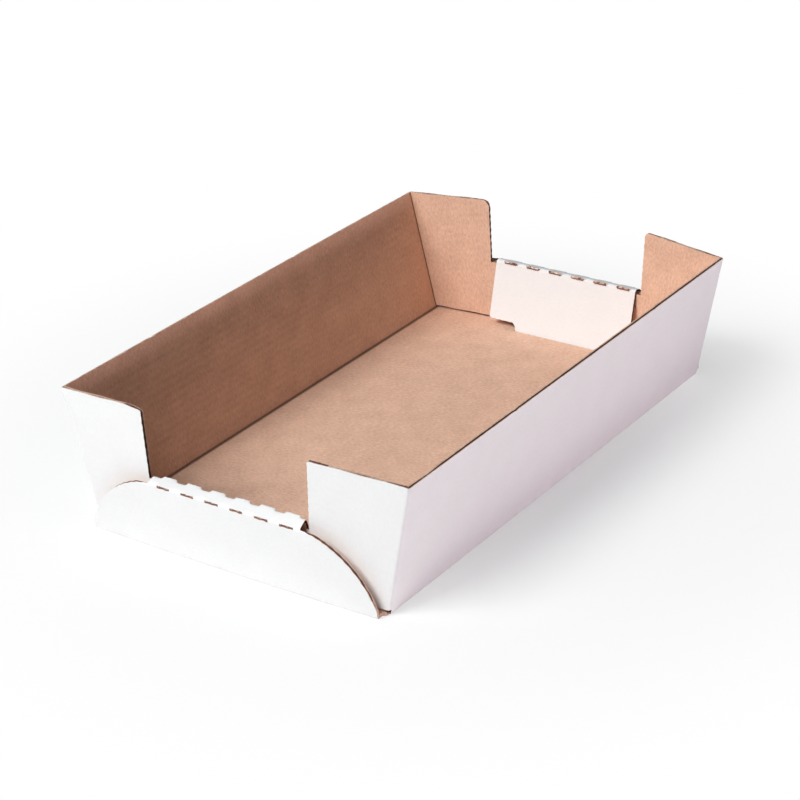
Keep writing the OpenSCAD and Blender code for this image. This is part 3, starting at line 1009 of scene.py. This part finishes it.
# A large soft light from the front, a little to the left, a low rose one that tints the shade on the
# right, a weak warm one on the front, and a faint blue fill from all round
Lamp = namedtuple("Lamp", "name place size power colour")
LAMPS = [
    Lamp("key", Vector((-1.3, -3.0, 3.78)), (2.8, 2.8), 264, (1, 1, 1)),
    Lamp("side", Vector((2.4, 0.1, 0.12)), (0.6, 0.2), 22.5, (1.0, 0.83, 0.89)),
    Lamp("front", Vector((0.3, -3.2, 0.7)), (2.0, 0.8), 5, (1.0, 0.97, 0.94)),
]
FILL_COLOUR = (0.3, 0.65, 1.0)
FILL_STRENGTH = 0.04
AIM = Vector((0, 0, 0.05))

# The table lies a hair below the tray, so that the two never share a face
TABLE_SIDE = 12
TABLE_DROP = 0.1 * MM
TABLE_ROUGHNESS = 0.95
# Its colour for the light that it sends on, and as it is seen
TABLE_COLOUR = (0.83, 0.83, 0.83)
TABLE_SEEN = (0.97, 0.97, 0.97)
# Its glow is a share of what is seen, and grows from near the tray's middle to full farther off
GLOW_SHARE = 0.33
GLOW_START = 0.1
GLOW_FULL = 0.53


def add_camera():
    back = Vector((math.sin(CAMERA_YAW) * math.cos(CAMERA_PITCH),
                   -math.cos(CAMERA_YAW) * math.cos(CAMERA_PITCH),
                   math.sin(CAMERA_PITCH)))
    level = (-back).cross(Vector((0, 0, 1))).normalized()
    upright = level.cross(-back)
    right = level * math.cos(CAMERA_ROLL) + upright * math.sin(CAMERA_ROLL)
    up = back.cross(right)
    data = bpy.data.cameras.new("camera")
    data.lens = CAMERA_LENS
    data.sensor_width = CAMERA_SENSOR
    camera = bpy.data.objects.new("camera", data)
    camera.matrix_world = Matrix((right, up, back)).transposed().to_4x4()
    camera.location = CAMERA_PLACE
    bpy.context.scene.collection.objects.link(camera)
    bpy.context.scene.camera = camera


def add_light(lamp):
    data = bpy.data.lights.new(lamp.name, "AREA")
    data.shape = "RECTANGLE"
    data.size, data.size_y = lamp.size
    data.energy = lamp.power
    data.color = lamp.colour
    light = bpy.data.objects.new(lamp.name, data)
    light.location = lamp.place
    light.rotation_euler = (AIM - lamp.place).to_track_quat("-Z", "Y").to_euler()
    bpy.context.scene.collection.objects.link(light)


def floor_material():
    """Pale table. It is seen partly lit from within: with faint shadows by the tray, white farther off."""
    material = bpy.data.materials.new("studio_floor")
    material.use_nodes = True
    tree = material.node_tree
    shader = tree.nodes["Principled BSDF"]
    shader.inputs["Roughness"].default_value = TABLE_ROUGHNESS
    shader.inputs["Specular IOR Level"].default_value = 0.0
    glow = node(tree, "ShaderNodeEmission", Strength=1.0)
    place = tree.nodes.new("ShaderNodeTexCoord").outputs["Object"]
    away = node(tree, "ShaderNodeVectorMath", {"operation": "LENGTH"}, Vector=place).outputs["Value"]
    share = node(tree, "ShaderNodeMapRange", {"interpolation_type": "SMOOTHSTEP"}, Value=away,
                 From_Min=GLOW_START, From_Max=GLOW_FULL, To_Min=GLOW_SHARE, To_Max=1.0).outputs["Result"]
    path = tree.nodes.new("ShaderNodeLightPath").outputs
    seen = calc(tree, "MAXIMUM", path["Is Camera Ray"],
                calc(tree, "MAXIMUM", path["Is Glossy Ray"], path["Is Transmission Ray"]))
    colour = colour_mix(tree, seen, TABLE_COLOUR, TABLE_SEEN)
    tree.links.new(colour, shader.inputs["Base Color"])
    mixed = tree.nodes.new("ShaderNodeMixShader")
    tree.links.new(calc(tree, "MULTIPLY", seen, share), mixed.inputs["Fac"])
    tree.links.new(shader.outputs["BSDF"], mixed.inputs[1])
    tree.links.new(glow.outputs["Emission"], mixed.inputs[2])
    tree.links.new(mixed.outputs["Shader"], tree.nodes["Material Output"].inputs["Surface"])
    return material


def add_floor():
    bm = flat_square(TABLE_SIDE)
    bmesh.ops.translate(bm, verts=bm.verts[:], vec=(0, 0, -TABLE_DROP))
    floor = as_object("floor", bm)
    bm.free()
    floor.data.materials.append(floor_material())


def add_world():
    world = bpy.data.worlds.new("studio")
    world.use_nodes = True
    world.node_tree.nodes["Background"].inputs["Color"].default_value = (*FILL_COLOUR, 1)
    world.node_tree.nodes["Background"].inputs["Strength"].default_value = FILL_STRENGTH
    bpy.context.scene.world = world


add_camera()
add_floor()
add_world()
for lamp in LAMPS:
    add_light(lamp)
bpy.context.scene.view_settings.view_transform = "Standard"
